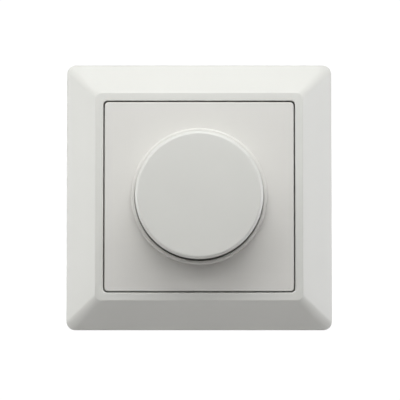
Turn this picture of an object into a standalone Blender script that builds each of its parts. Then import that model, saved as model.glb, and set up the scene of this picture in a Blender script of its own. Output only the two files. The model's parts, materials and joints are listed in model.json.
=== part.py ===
"""Rotary wall dimmer with a push on, push off knob, as one flush-mounted device.

Every sub-part is modelled on the bench: x to the right, y up, z out of the wall into the
room, with z = 0 on the wall. The empty "device" then stands the whole thing upright, so that
its front looks along -Y and its top is +Z. All numbers below are millimetres.
"""
import math

import bmesh
import bpy
import numpy
from mathutils import Vector

MM = 0.001
GAP = 0.3                      # air between two pieces that touch on the real device
ROUND_SIDES = 48               # facets of the knob and its collar
OVERSHOOT = 1.0                # how far a cutter runs past the face that it cuts

# Cover frame: a square ring with a straight bevel and a narrow flat border
FRAME_HALF = 40.0
FRAME_FRONT = 9.4
FRAME_EDGE = 2.0               # height of the upright side before the bevel starts
FRAME_WALL = 2.0
FRAME_EDGE_ROUNDING = 1.2
BORDER_ROUNDING = 0.6
BORDER_HALF = 30.81            # where the bevel meets the flat border
OPENING_HALF = 28.39
OPENING_WALL = 1.61
LEDGE_HALF = 25.5              # inner edge of the ledge that the centre plate presses on
LEDGE_BACK = 3.4
LEDGE_FRONT = 4.6
FRAME_RADII = {25.5: 1.0, 28.39: 1.3, 30.81: 2.0, 40.0: 2.7}   # corner radius by half width

# Centre plate with its collar
PLATE_HALF = OPENING_HALF - GAP
PLATE_FRONT = 9.3
PLATE_BACK = LEDGE_FRONT + GAP
PLATE_SKIN = 2.0
PLATE_SKIRT = 1.6
PLATE_RADIUS = 1.1
EDGE_ROUNDING = 0.25            # rounded edges along the gap between frame and plate
COLLAR_RADIUS = 20.1
COLLAR_BORE = 19.0
COLLAR_FRONT = 11.3
RECESS_FLOOR = 7.6
RECESS_BACK = 6.0

# Knob
KNOB_RADIUS = 18.6
KNOB_BACK = 10.2
KNOB_FRONT = 21.6
KNOB_WALL = 1.6
KNOB_ROUNDING = 0.8
HUB_RADIUS = 5.4
HUB_BACK = 13.4
HUB_BORE = 3.9
HUB_BORE_END = 19.4
RIB_COUNT = 6
RIB_WIDTH = 1.0
RIB_BACK = 16.0

# Shaft and bush
SHAFT_RADIUS = 3.0
SHAFT_FLAT = 1.5               # distance of the D flat from the axis
SHAFT_FRONT = 18.8
SHAFT_BACK = -12.6
FRONT_FLAT_LENGTH = 7.5
REAR_FLAT_LENGTH = 7.1
GROOVE_RADIUS = 2.4
CIRCLIP_BACK = -4.95
CIRCLIP_THICKNESS = 0.6
CIRCLIP_RADIUS = 4.3
BUSH_RADIUS = 4.8
BUSH_FRONT = 11.0
BUSH_BACK = -3.9
FLANGE_RADIUS = 7.5
FLANGE_THICKNESS = 1.3
THREAD_START = 1.2
THREAD_PITCH = 2.2
THREAD_TURNS = 4
THREAD_DEPTH = 0.35
NUT_BORE = BUSH_RADIUS + GAP

# Support plate, housing and its cover
SUPPORT_HALF = 35.5
SUPPORT_RADIUS = 4.0
SUPPORT_FRONT = 1.0
BOX_SCREW_SPACING = 60.0
SLOT_HALF_WIDTH = 1.9
SLOT_HALF_LENGTH = 5.0
HOUSING_HALF = 24.5
HOUSING_CORNER = 15.0
HOUSING_WALL = 1.6
HOUSING_BACK = -24.0
COVER_FRONT = -GAP
COVER_BACK = -2.3
HOUSING_FRONT = COVER_BACK - GAP
BOSS_OFFSET = 17.0
BOSS_RADIUS = 3.2
BOSS_FRONT = -3.0
SCREW_HOLE = 1.6
SCREW_END = -11.0

# Circuit board
BOARD_FRONT = -10.8
BOARD_BACK = -12.4
BOARD_HALF = HOUSING_HALF - HOUSING_WALL - 0.4
BOARD_CORNER = HOUSING_CORNER - HOUSING_WALL - 0.4
SHAFT_HOLE = 3.9               # hole round the shaft in the board and the track
REAR_PARTS_FRONT = BOARD_BACK - GAP

# Potentiometer and trimmer, in front of the board
POT_FRONT = -4.2
POT_BACK = BOARD_FRONT + GAP
POT_HALF = 8.2
ROTOR_BACK = -9.1
WIPER_BACK = -9.8
TRACK_THICKNESS = 0.4
TRIMMER_X = 14.0
TRIMMER_HOLE = 1.9
TRIMMER_FRONT = -6.5

# Push switch, behind the board
SWITCH_HALF = 6.5
SWITCH_WALL = 1.0
SWITCH_BACK = -21.3
SLIDER_FRONT = SHAFT_BACK - GAP
SLIDER_RADIUS = 2.9
SLIDER_FLANGE = 3.9
SLIDER_FLANGE_BACK = -15.0
CONTACT_BACK = -14.8
FIXED_CONTACT_BACK = -18.5
SPRING_BACK = -20.1
SPRING_RADIUS = 3.0
SPRING_WIRE = 0.25
SPRING_TURNS = 4

# Power parts behind the board
TRANSISTOR_X = 18.4
TRANSISTOR_Y = -4.2
TRANSISTOR_BACK = -21.9
SPREADER_X = 21.5
CHOKE_PLACE = (-13.3, 8.0, -17.2)
FILM_PLACE = (0.8, 10.2)
CAN_PLACE = (13.4, 8.6)
VARISTOR_PLACE = (8.9, -0.4)
FUSE_PLACE = (0.0, 17.6, -16.2)

# Terminals
TERMINAL_PITCH = 6.0
TERMINAL_COUNT = 4
TERMINAL_SCREW_Z = -17.4
WIRE_HOLE = 1.6
WIRE_Y = -16.8
ACCESS_HOLE = 1.8              # for the screwdriver, in the housing's lower wall
BLOCK_LOW = (-12.4, -22.2, -22.0)
BLOCK_HIGH = (12.4, -13.2, REAR_PARTS_FRONT - 0.1)
CHAMBER_LOW = (-2.45, -22.2 - OVERSHOOT, -20.5)
CHAMBER_HIGH = (2.45, -14.2, -14.3)
CLAMP_LOW = (-2.1, -20.8, -20.2)
CLAMP_HIGH = (2.1, -14.5, -14.6)


# ---------------------------------------------------------------- outlines and profiles

def rounded_rectangle(half_x, half_y, radius, steps=5):
    """Points of a rectangle with arcs for corners, anticlockwise."""
    points = []
    for corner in range(4):
        side_x = 1 if corner in (0, 3) else -1
        side_y = 1 if corner in (0, 1) else -1
        for step in range(steps + 1):
            angle = (corner + step / steps) * math.pi / 2
            points.append((side_x * (half_x - radius) + radius * math.cos(angle),
                           side_y * (half_y - radius) + radius * math.sin(angle)))
    return points


def arc(radius, start, end, steps):
    """Points on a circle about the origin, from one angle in degrees to another."""
    angles = (math.radians(start + (end - start) * step / steps) for step in range(steps + 1))
    return [(radius * math.cos(angle), radius * math.sin(angle)) for angle in angles]


def d_outline(radius, flat, steps=20):
    """A circle cut off by a flat at y = flat."""
    half_angle = math.degrees(math.acos(flat / radius))
    return arc(radius, 90 + half_angle, 450 - half_angle, steps)


def ring_outline(inner, outer, opening, steps):
    """A flat C shape, open by the given angle in degrees about +y."""
    start, end = 90 + opening / 2, 450 - opening / 2
    return arc(outer, start, end, steps) + arc(inner, end, start, steps)


def round_profile(points, steps=3):
    """Replaces each (x, z, radius) corner of a line of points by an arc of that radius."""
    rounded = []
    for index, (x, z, radius) in enumerate(points):
        if radius == 0:
            rounded.append((x, z))
            continue
        corner = Vector((x, z))
        to_before = (Vector(points[index - 1][:2]) - corner).normalized()
        to_after = (Vector(points[index + 1][:2]) - corner).normalized()
        half_angle = to_before.angle(to_after) / 2
        centre = corner + (to_before + to_after).normalized() * radius / math.sin(half_angle)
        reach = radius / math.tan(half_angle)
        first = (corner + to_before * reach - centre).normalized()
        last = (corner + to_after * reach - centre).normalized()
        for step in range(steps + 1):
            rounded.append(tuple(centre + first.slerp(last, step / steps) * radius))
    return rounded


# ---------------------------------------------------------------- objects

def finish_material(name, colour, roughness, metallic=0.0):
    """A Principled material in the piece's own colour."""
    material = bpy.data.materials.new(name)
    material.use_nodes = True
    shader = material.node_tree.nodes["Principled BSDF"]
    shader.inputs["Base Color"].default_value = (*colour, 1.0)
    shader.inputs["Roughness"].default_value = roughness
    shader.inputs["Metallic"].default_value = metallic
    return material


WHITE_PLASTIC = ((0.68, 0.68, 0.64), 0.45)
GREY_PLASTIC = ((0.22, 0.23, 0.24), 0.5)
BLACK_PLASTIC = ((0.03, 0.03, 0.03), 0.45)
BEIGE_PLASTIC = ((0.62, 0.55, 0.42), 0.5)
BLUE_COATING = ((0.05, 0.16, 0.42), 0.35)
YELLOW_FILM = ((0.75, 0.52, 0.08), 0.4)
GREEN_LAMINATE = ((0.03, 0.22, 0.08), 0.45)
GREY_FERRITE = ((0.10, 0.10, 0.11), 0.6)
CLEAR_TUBE = ((0.75, 0.80, 0.80), 0.1)
STEEL = ((0.56, 0.57, 0.58), 0.35, 1.0)
BRASS = ((0.72, 0.55, 0.26), 0.3, 1.0)
COPPER = ((0.70, 0.33, 0.18), 0.3, 1.0)
ALUMINIUM = ((0.72, 0.73, 0.74), 0.35, 1.0)


def lofted(name, rings, finish, closed=False):
    """A body through rings of points: the ends are capped, or joined to each other if closed.

    A ring of a single point is a pole.
    """
    shape = bmesh.new()
    loops = [[shape.verts.new(Vector(point) * MM) for point in ring] for ring in rings]
    pairs = list(zip(loops, loops[1:]))
    if closed:
        pairs.append((loops[-1], loops[0]))
    else:
        for end in (loops[0], loops[-1]):
            if len(end) > 2:
                shape.faces.new(end)
    for lower, upper in pairs:
        count = max(len(lower), len(upper))
        for index in range(count):
            following = (index + 1) % count
            corners = [lower[index % len(lower)], lower[following % len(lower)],
                       upper[following % len(upper)], upper[index % len(upper)]]
            shape.faces.new(list(dict.fromkeys(corners)))
    bmesh.ops.recalc_face_normals(shape, faces=shape.faces)
    mesh = bpy.data.meshes.new(name)
    shape.to_mesh(mesh)
    shape.free()
    mesh.shade_smooth()
    mesh.set_sharp_from_angle(angle=math.radians(35))
    mesh.materials.append(finish_material(name, *finish))
    piece = bpy.data.objects.new(name, mesh)
    bpy.context.scene.collection.objects.link(piece)
    return piece


def turned(name, profile, finish, sides=32, closed=False):
    """A body turned about z from (radius, z) points. A radius of 0 is a pole."""
    rings = []
    for radius, height in profile:
        if radius == 0:
            rings.append([(0, 0, height)])
        else:
            rings.append([(x, y, height) for x, y in arc(radius, 0, 360, sides)[:-1]])
    return lofted(name, rings, finish, closed)


def slab(name, outline, back, front, finish):
    """A flat outline given a thickness from back to front."""
    return lofted(name, [[(x, y, height) for x, y in outline] for height in (back, front)], finish)


def box(name, low, high, finish, radius=0.0):
    """A block between two corners, with its upright edges rounded if radius isn't 0."""
    centre = [(a + b) / 2 for a, b in zip(low, high)]
    half_x, half_y = (high[0] - low[0]) / 2, (high[1] - low[1]) / 2
    if radius:
        outline = rounded_rectangle(half_x, half_y, radius, 2)
    else:
        outline = [(-half_x, -half_y), (half_x, -half_y), (half_x, half_y), (-half_x, half_y)]
    outline = [(x + centre[0], y + centre[1]) for x, y in outline]
    return slab(name, outline, low[2], high[2], finish)


def tube(name, path, radius, sides, finish):
    """A round wire along a path of points, with flat ends."""
    points = [Vector(point) for point in path]
    rings = []
    side_way = Vector((0, 0, 1))
    for index, point in enumerate(points):
        along = points[min(index + 1, len(points) - 1)] - points[max(index - 1, 0)]
        along.normalize()
        side_way = (side_way - along * side_way.dot(along)).normalized()
        third = along.cross(side_way)
        rings.append([point + side_way * x + third * y
                      for x, y in arc(radius, 0, 360, sides)[:-1]])
    return lofted(name, rings, finish)


def place(piece, parent, location=(0, 0, 0), rotation=(0, 0, 0)):
    """Parents a piece and sets its place in millimetres and its rotation in degrees."""
    piece.parent = parent
    piece.location = Vector(location) * MM
    piece.rotation_euler = [math.radians(angle) for angle in rotation]
    return piece


def use_tool(target, tool, operation, location=(0, 0, 0), rotation=(0, 0, 0)):
    """Cuts a tool out of a piece or joins it on, and keeps the tool as a wire guide."""
    place(tool, target, location, rotation)
    tool.hide_render = True
    tool.display_type = "WIRE"
    modifier = target.modifiers.new(tool.name, "BOOLEAN")
    modifier.operation = operation
    modifier.solver = "EXACT"
    modifier.object = tool


def cut(target, tool, location=(0, 0, 0), rotation=(0, 0, 0)):
    use_tool(target, tool, "DIFFERENCE", location, rotation)


def join(target, tool, location=(0, 0, 0), rotation=(0, 0, 0)):
    use_tool(target, tool, "UNION", location, rotation)


def drill(target, radius, back, front, x=0.0, y=0.0, sides=12):
    """Drills a round hole along z, from just behind one height to just past the other."""
    rod = slab(f"{target.name}_hole", arc(radius, 0, 360, sides)[:-1], back - OVERSHOOT,
               front + OVERSHOOT, STEEL)
    cut(target, rod, (x, y, 0))


def empty(name, parent=None, location=(0, 0, 0), rotation=(0, 0, 0)):
    """A frame of reference that other pieces hang from."""
    holder = bpy.data.objects.new(name, None)
    bpy.context.scene.collection.objects.link(holder)
    return place(holder, parent, location, rotation)


# ---------------------------------------------------------------- covers and knob

def make_cover_frame(device):
    """Hollow square frame: bevelled outside, with a ledge round its opening."""
    slope = (FRAME_FRONT - FRAME_EDGE) / (FRAME_HALF - BORDER_HALF)
    drop = FRAME_WALL * math.hypot(1, slope)

    def inside_height(half):
        return FRAME_EDGE + (FRAME_HALF - half) * slope - drop

    opening_outside = OPENING_HALF + OPENING_WALL
    wall_inside = FRAME_HALF - FRAME_WALL
    profile = round_profile([
        (FRAME_HALF, 0.0, 0),
        (FRAME_HALF, FRAME_EDGE, FRAME_EDGE_ROUNDING),
        (BORDER_HALF, FRAME_FRONT, BORDER_ROUNDING),
        (OPENING_HALF, FRAME_FRONT, EDGE_ROUNDING),
        (OPENING_HALF, LEDGE_FRONT, 0),
        (LEDGE_HALF, LEDGE_FRONT, 0),
        (LEDGE_HALF, LEDGE_BACK, 0),
        (opening_outside, LEDGE_BACK, 0),
        (opening_outside, inside_height(opening_outside), 0),
        (wall_inside, inside_height(wall_inside), 0),
        (wall_inside, 0.0, 0),
    ])
    halves, radii = list(FRAME_RADII), list(FRAME_RADII.values())
    rings = []
    for half, height in profile:
        outline = rounded_rectangle(half, half, numpy.interp(half, halves, radii))
        rings.append([(x, y, height) for x, y in outline])
    return place(lofted("cover_frame", rings, WHITE_PLASTIC, closed=True), device)


def make_centre_plate(device):
    """Square tray that clamps the frame, with a round collar and a recess for the knob."""
    thickness = PLATE_FRONT - PLATE_BACK
    inside = PLATE_HALF - PLATE_SKIRT
    profile = round_profile([
        (inside, thickness - PLATE_SKIN, 0),
        (inside, 0.0, 0),
        (PLATE_HALF, 0.0, 0),
        (PLATE_HALF, thickness, EDGE_ROUNDING),
        (inside, thickness, 0),
    ])[:-1]
    rings = [[(x, y, height) for x, y in rounded_rectangle(half, half, PLATE_RADIUS)]
             for half, height in profile]
    plate = place(lofted("centre_plate", rings, WHITE_PLASTIC), device, (0, 0, PLATE_BACK))
    drill(plate, (COLLAR_BORE + COLLAR_RADIUS) / 2, 0, thickness, sides=ROUND_SIDES)
    bore = BUSH_RADIUS + 0.4
    collar = turned("collar", round_profile([
        (bore, RECESS_FLOOR, 0),
        (bore, RECESS_BACK, 0),
        (COLLAR_RADIUS, RECESS_BACK, 0),
        (COLLAR_RADIUS, COLLAR_FRONT, 0.4),
        (COLLAR_BORE, COLLAR_FRONT, 0.2),
        (COLLAR_BORE, RECESS_FLOOR, 0),
    ], steps=2), WHITE_PLASTIC, sides=ROUND_SIDES, closed=True)
    join(plate, collar, (0, 0, -PLATE_BACK))
    return plate


def make_knob(turn_axis):
    """Round cap with a smooth front, a hollow back, and ribs that carry the hub."""
    front = KNOB_FRONT - KNOB_BACK
    skin = front - KNOB_WALL
    inside = KNOB_RADIUS - KNOB_WALL
    hub_back = HUB_BACK - KNOB_BACK
    bore_end = HUB_BORE_END - KNOB_BACK
    profile = round_profile([
        (0, front, 0),
        (KNOB_RADIUS, front, KNOB_ROUNDING),
        (KNOB_RADIUS, 0, 0.2),
        (inside, 0, 0.2),
        (inside, skin, 0),
        (HUB_RADIUS, skin, 0),
        (HUB_RADIUS, hub_back, 0),
        (HUB_BORE, hub_back, 0),
        (HUB_BORE, bore_end, 0),
        (0, bore_end, 0),
    ])
    knob = place(turned("knob", profile, WHITE_PLASTIC, sides=ROUND_SIDES), turn_axis,
                 (0, 0, KNOB_BACK))
    for index in range(RIB_COUNT):
        rib = box(f"knob_rib_{index + 1}",
                  (HUB_RADIUS - 0.6, -RIB_WIDTH / 2, RIB_BACK - KNOB_BACK),
                  (inside + 0.6, RIB_WIDTH / 2, skin + 0.4), WHITE_PLASTIC)
        join(knob, rib, rotation=(0, 0, index * 360 / RIB_COUNT))
    return knob


# ---------------------------------------------------------------- shaft, bush and fasteners

def make_control_shaft(turn_axis):
    """Steel shaft with a D flat at both ends and a groove for its retaining ring."""
    length = SHAFT_FRONT - SHAFT_BACK
    groove_back = CIRCLIP_BACK - GAP - SHAFT_BACK
    groove_front = groove_back + CIRCLIP_THICKNESS + 2 * GAP
    chamfer = 0.4
    profile = [
        (0, 0), (SHAFT_RADIUS - chamfer, 0), (SHAFT_RADIUS, chamfer),
        (SHAFT_RADIUS, groove_back), (GROOVE_RADIUS, groove_back),
        (GROOVE_RADIUS, groove_front), (SHAFT_RADIUS, groove_front),
        (SHAFT_RADIUS, length - chamfer), (SHAFT_RADIUS - chamfer, length), (0, length),
    ]
    shaft = place(turned("control_shaft", profile, STEEL, sides=24), turn_axis,
                  (0, 0, SHAFT_BACK))
    reach = SHAFT_RADIUS + OVERSHOOT
    for start, end in ((-OVERSHOOT, REAR_FLAT_LENGTH),
                       (length - FRONT_FLAT_LENGTH, length + OVERSHOOT)):
        flat = box("shaft_flat", (-reach, SHAFT_FLAT, start), (reach, reach, end), STEEL)
        cut(shaft, flat)
    return shaft


def make_knob_clip(turn_axis):
    """Split spring sleeve that grips the shaft inside the knob's hub."""
    back, length = 14.0, 4.5
    outline = ring_outline(SHAFT_RADIUS + GAP, HUB_BORE - GAP, 60, 16)
    return place(slab("knob_clip", outline, 0, length, STEEL), turn_axis, (0, 0, back))


def make_shaft_circlip(turn_axis):
    """Open retaining ring in the shaft's groove."""
    outline = ring_outline(GROOVE_RADIUS + GAP, CIRCLIP_RADIUS, 70, 14)
    return place(slab("shaft_circlip", outline, 0, CIRCLIP_THICKNESS, STEEL), turn_axis,
                 (0, 0, CIRCLIP_BACK))


def make_threaded_bush(device):
    """Brass bush that carries the shaft, with a flange behind and a thread in front."""
    bore = SHAFT_RADIUS + GAP
    flange_front = BUSH_BACK + FLANGE_THICKNESS
    profile = [(bore, BUSH_BACK), (FLANGE_RADIUS, BUSH_BACK), (FLANGE_RADIUS, flange_front),
               (BUSH_RADIUS, flange_front)]
    for turn in range(THREAD_TURNS):
        crest = THREAD_START + turn * THREAD_PITCH
        profile += [(BUSH_RADIUS, crest), (BUSH_RADIUS - THREAD_DEPTH, crest + THREAD_PITCH / 2)]
    profile += [(BUSH_RADIUS, THREAD_START + THREAD_TURNS * THREAD_PITCH),
                (BUSH_RADIUS - 0.3, BUSH_FRONT), (bore, BUSH_FRONT)]
    profile = [(radius, height - BUSH_BACK) for radius, height in profile]
    return place(turned("threaded_bush", profile, BRASS, sides=20, closed=True), device,
                 (0, 0, BUSH_BACK))


def make_plate_nut(device):
    """Round nut with two spanner slots that holds the centre plate."""
    radius, thickness = 7.0, 2.0
    profile = [(NUT_BORE, 0), (radius, 0), (radius, thickness - 0.3), (radius - 0.3, thickness),
               (NUT_BORE, thickness)]
    nut = place(turned("plate_nut", profile, BRASS, closed=True), device,
                (0, 0, RECESS_FLOOR + GAP))
    for side in (-1, 1):
        slot = box("nut_slot", (-1.2, -0.8, thickness - 1.1), (1.5, 0.8, thickness + OVERSHOOT),
                   BRASS)
        cut(nut, slot, (side * radius, 0, 0))
    return nut


def make_bush_nut(device):
    """Hexagon nut that clamps the bush to the support plate."""
    corner_radius, thickness, back = 7.5, 2.5, 2.4
    nut = slab("bush_nut", arc(corner_radius, 0, 360, 6)[:-1], 0, thickness, STEEL)
    place(nut, device, (0, 0, back))
    drill(nut, NUT_BORE, 0, thickness, sides=24)
    return nut


def make_nut_washer(device):
    """Plain washer under the hexagon nut."""
    radius, thickness = 8.0, 0.8
    profile = [(NUT_BORE, 0), (radius, 0), (radius, thickness), (NUT_BORE, thickness)]
    return place(turned("nut_washer", profile, STEEL, closed=True), device,
                 (0, 0, SUPPORT_FRONT + GAP))


def make_housing_screw(device, name, x, y):
    """Pan-head screw through the support plate and the cover into a boss of the housing."""
    head_radius, head_height, shank_radius, slot_half = 2.5, 1.4, 1.3, 0.35
    head_back = SUPPORT_FRONT + GAP
    length = head_back - SCREW_END
    profile = [(0, -length), (0.5, -length), (shank_radius, -length + 1.2), (shank_radius, 0),
               (head_radius, 0), (head_radius, head_height - 0.5),
               (head_radius - 0.6, head_height), (0, head_height)]
    screw = place(turned(name, profile, STEEL, sides=10), device, (x, y, head_back))
    for angle in (0, 90):
        slot = box("screw_slot", (-1.6, -slot_half, head_height - 0.8),
                   (1.6, slot_half, head_height + OVERSHOOT), STEEL)
        cut(screw, slot, rotation=(0, 0, angle))
    return screw


# ---------------------------------------------------------------- support plate and housing

def corner_places():
    """The four places of the housing's screws."""
    return [(x * BOSS_OFFSET, y * BOSS_OFFSET) for y in (1, -1) for x in (-1, 1)]


def drill_common_holes(plate, thickness):
    """Holes for the bush, the trimmer's screwdriver and the four housing screws."""
    drill(plate, NUT_BORE, 0, thickness, sides=24)
    drill(plate, TRIMMER_HOLE, 0, thickness, TRIMMER_X)
    for x, y in corner_places():
        drill(plate, SCREW_HOLE, 0, thickness, x, y)


def make_support_plate(device):
    """Steel plate that lies on the wall, with slots for the wall box's screws."""
    outline = rounded_rectangle(SUPPORT_HALF, SUPPORT_HALF, SUPPORT_RADIUS, 3)
    plate = place(slab("support_plate", outline, 0, SUPPORT_FRONT, STEEL), device)
    slot_outline = rounded_rectangle(SLOT_HALF_WIDTH, SLOT_HALF_LENGTH, SLOT_HALF_WIDTH - 0.01, 3)
    for quarter in range(4):
        angle = quarter * math.pi / 2
        slot = slab("box_screw_slot", slot_outline, -OVERSHOOT, SUPPORT_FRONT + OVERSHOOT, STEEL)
        reach = BOX_SCREW_SPACING / 2
        cut(plate, slot, (reach * math.cos(angle), reach * math.sin(angle), 0),
            (0, 0, quarter * 90))
    drill_common_holes(plate, SUPPORT_FRONT)
    return plate


def make_housing_cover(device):
    """Insulating lid of the housing, behind the support plate."""
    thickness = COVER_FRONT - COVER_BACK
    outline = rounded_rectangle(HOUSING_HALF, HOUSING_HALF, HOUSING_CORNER, 6)
    cover = place(slab("housing_cover", outline, 0, thickness, GREY_PLASTIC), device,
                  (0, 0, COVER_BACK))
    drill_common_holes(cover, thickness)
    return cover


def make_housing(device):
    """Rear cup with four screw bosses, wire entries behind and screw access holes below."""
    depth = HOUSING_FRONT - HOUSING_BACK
    floor = HOUSING_WALL
    inside, inside_corner = HOUSING_HALF - HOUSING_WALL, HOUSING_CORNER - HOUSING_WALL
    chamfer = 0.8
    levels = [
        (HOUSING_HALF - chamfer, HOUSING_CORNER - chamfer, 0),
        (HOUSING_HALF, HOUSING_CORNER, chamfer),
        (HOUSING_HALF, HOUSING_CORNER, depth),
        (inside, inside_corner, depth),
        (inside, inside_corner, floor),
    ]
    rings = [[(x, y, height) for x, y in rounded_rectangle(half, half, corner, 6)]
             for half, corner, height in levels]
    housing = place(lofted("housing", rings, GREY_PLASTIC), device, (0, 0, HOUSING_BACK))
    boss_outline = arc(BOSS_RADIUS, 0, 360, 12)[:-1]
    for x, y in corner_places():
        boss = slab("screw_boss", boss_outline, floor / 2, BOSS_FRONT - HOUSING_BACK,
                    GREY_PLASTIC)
        join(housing, boss, (x, y, 0))
        drill(housing, SCREW_HOLE, SCREW_END - HOUSING_BACK, depth, x, y)
    for x in terminal_places():
        drill(housing, WIRE_HOLE, 0, floor, x, WIRE_Y)
        access = slab("screw_access", arc(ACCESS_HOLE, 0, 360, 12)[:-1], 0,
                      HOUSING_WALL + 4 * OVERSHOOT, GREY_PLASTIC)
        cut(housing, access, (x, OVERSHOOT - inside, TERMINAL_SCREW_Z - HOUSING_BACK),
            (90, 0, 0))
    return housing


# ---------------------------------------------------------------- potentiometer

def make_pot_case(device):
    """Open-backed square case of the potentiometer."""
    wall = 1.0
    depth = POT_FRONT - POT_BACK
    inside = POT_HALF - wall
    levels = [(inside, depth - wall), (inside, 0), (POT_HALF, 0), (POT_HALF, depth)]
    rings = [[(x, y, height) for x, y in rounded_rectangle(size, size, 1.2, 2)]
             for size, height in levels]
    case = place(lofted("pot_case", rings, STEEL), device, (0, 0, POT_BACK))
    drill(case, CIRCLIP_RADIUS + 0.4, depth - wall + OVERSHOOT / 2, depth, sides=24)
    return case


def make_pot_rotor(rotor_axis):
    """Disc that the shaft's flat turns, while the shaft slides through it."""
    radius, thickness = 6.6, 1.5
    rotor = turned("pot_rotor", [(0, 0), (radius, 0), (radius, thickness), (0, thickness)],
                   BEIGE_PLASTIC)
    place(rotor, rotor_axis, (0, 0, ROTOR_BACK))
    bore = slab("rotor_bore", d_outline(SHAFT_RADIUS + GAP, SHAFT_FLAT + GAP), -OVERSHOOT,
                thickness + OVERSHOOT, BEIGE_PLASTIC)
    cut(rotor, bore)
    return rotor


def make_pot_wiper(rotor_axis):
    """Springy contact under the rotor."""
    inner, outer, opening, thickness = 4.6, 6.0, 90, ROTOR_BACK - GAP - WIPER_BACK
    outline = ring_outline(inner, outer, opening, 12)
    return place(slab("pot_wiper", outline, 0, thickness, COPPER), rotor_axis,
                 (0, 0, WIPER_BACK))


def make_pot_track(device):
    """Open resistance ring that the wiper sweeps."""
    outer, opening = 6.8, 50
    outline = ring_outline(SHAFT_HOLE, outer, opening, 20)
    return place(slab("pot_track", outline, 0, TRACK_THICKNESS, BLACK_PLASTIC), device,
                 (0, 0, POT_BACK), (0, 0, 180))


# ---------------------------------------------------------------- push switch

def make_switch_case(device):
    """Closed square case of the push switch, open only where its slider comes out."""
    depth = REAR_PARTS_FRONT - SWITCH_BACK
    case = box("switch_case", (-SWITCH_HALF, -SWITCH_HALF, 0), (SWITCH_HALF, SWITCH_HALF, depth),
               BLACK_PLASTIC, radius=0.8)
    place(case, device, (0, 0, SWITCH_BACK))
    inside = SWITCH_HALF - SWITCH_WALL
    cut(case, box("switch_room", (-inside, -inside, SWITCH_WALL - 0.1),
                  (inside, inside, depth - SWITCH_WALL), BLACK_PLASTIC))
    drill(case, SLIDER_RADIUS + 0.4, depth - SWITCH_WALL + OVERSHOOT / 2, depth, sides=24)
    return case


def make_switch_slider(push_axis):
    """Plunger that the shaft presses against the return spring."""
    guide, guide_length, flange_thickness = 2.0, 1.2, 1.0
    front = SLIDER_FRONT - SLIDER_FLANGE_BACK
    profile = [(0, -guide_length), (guide, -guide_length), (guide, 0), (SLIDER_FLANGE, 0),
               (SLIDER_FLANGE, flange_thickness), (SLIDER_RADIUS, flange_thickness),
               (SLIDER_RADIUS, front), (0, front)]
    return place(turned("switch_slider", profile, BEIGE_PLASTIC, sides=24), push_axis,
                 (0, 0, SLIDER_FLANGE_BACK))


def make_moving_contact(push_axis):
    """Open contact ring round the slider's flange."""
    width, thickness, opening = 0.4, 0.6, 60
    outline = ring_outline(SLIDER_FLANGE + GAP, SLIDER_FLANGE + GAP + width, opening, 16)
    return place(slab("moving_contact", outline, 0, thickness, COPPER), push_axis,
                 (0, 0, CONTACT_BACK))


def make_fixed_contacts(device):
    """Two contact leaves on the walls of the switch."""
    thin, wide, tall = 0.15, 1.5, 4.6
    reach = SWITCH_HALF - SWITCH_WALL - GAP - thin
    for side, number in ((-1, 1), (1, 2)):
        leaf = box(f"fixed_contact_{number}", (-thin, -wide, 0), (thin, wide, tall), BRASS)
        place(leaf, device, (side * reach, 0, FIXED_CONTACT_BACK))


def make_return_spring(device):
    """Compression spring behind the slider."""
    length = SLIDER_FLANGE_BACK - GAP - SPRING_BACK - 2 * SPRING_WIRE
    steps_per_turn = 10
    path = []
    for step in range(SPRING_TURNS * steps_per_turn + 1):
        share = step / (SPRING_TURNS * steps_per_turn)
        angle = share * SPRING_TURNS * 2 * math.pi
        path.append((SPRING_RADIUS * math.cos(angle), SPRING_RADIUS * math.sin(angle),
                     SPRING_WIRE + share * length))
    return place(tube("return_spring", path, SPRING_WIRE, 5, STEEL), device, (0, 0, SPRING_BACK))


# ---------------------------------------------------------------- circuit board and parts

def make_circuit_board(device):
    """Board across the housing, notched round the screw bosses."""
    thickness = BOARD_FRONT - BOARD_BACK
    outline = rounded_rectangle(BOARD_HALF, BOARD_HALF, BOARD_CORNER, 6)
    board = place(slab("circuit_board", outline, 0, thickness, GREEN_LAMINATE), device,
                  (0, 0, BOARD_BACK))
    drill(board, SHAFT_HOLE, 0, thickness, sides=20)
    for x, y in corner_places():
        drill(board, BOSS_RADIUS + 0.5, 0, thickness, x, y)
    return board


def make_trimmer(device, trimmer_axis):
    """Small preset for the lowest brightness, reached through the plate and the cover."""
    half, body_back = 3.2, BOARD_FRONT + GAP
    body = box("trimmer_body", (-half, -half, 0), (half, half, TRIMMER_FRONT - body_back),
               BLUE_COATING, radius=0.5)
    place(body, device, (TRIMMER_X, 0, body_back))
    disc, stem, disc_height, stem_height = 2.6, 1.5, 1.0, 3.3
    slot_depth, slot_half = 0.9, 0.35
    profile = [(0, 0), (disc, 0), (disc, disc_height), (stem, disc_height),
               (stem, stem_height), (0, stem_height)]
    rotor = place(turned("trimmer_rotor", profile, WHITE_PLASTIC, sides=20), trimmer_axis,
                  (0, 0, TRIMMER_FRONT + GAP))
    reach = stem + OVERSHOOT / 2
    cut(rotor, box("trimmer_slot", (-reach, -slot_half, stem_height - slot_depth),
                   (reach, slot_half, stem_height + OVERSHOOT), WHITE_PLASTIC))


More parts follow.
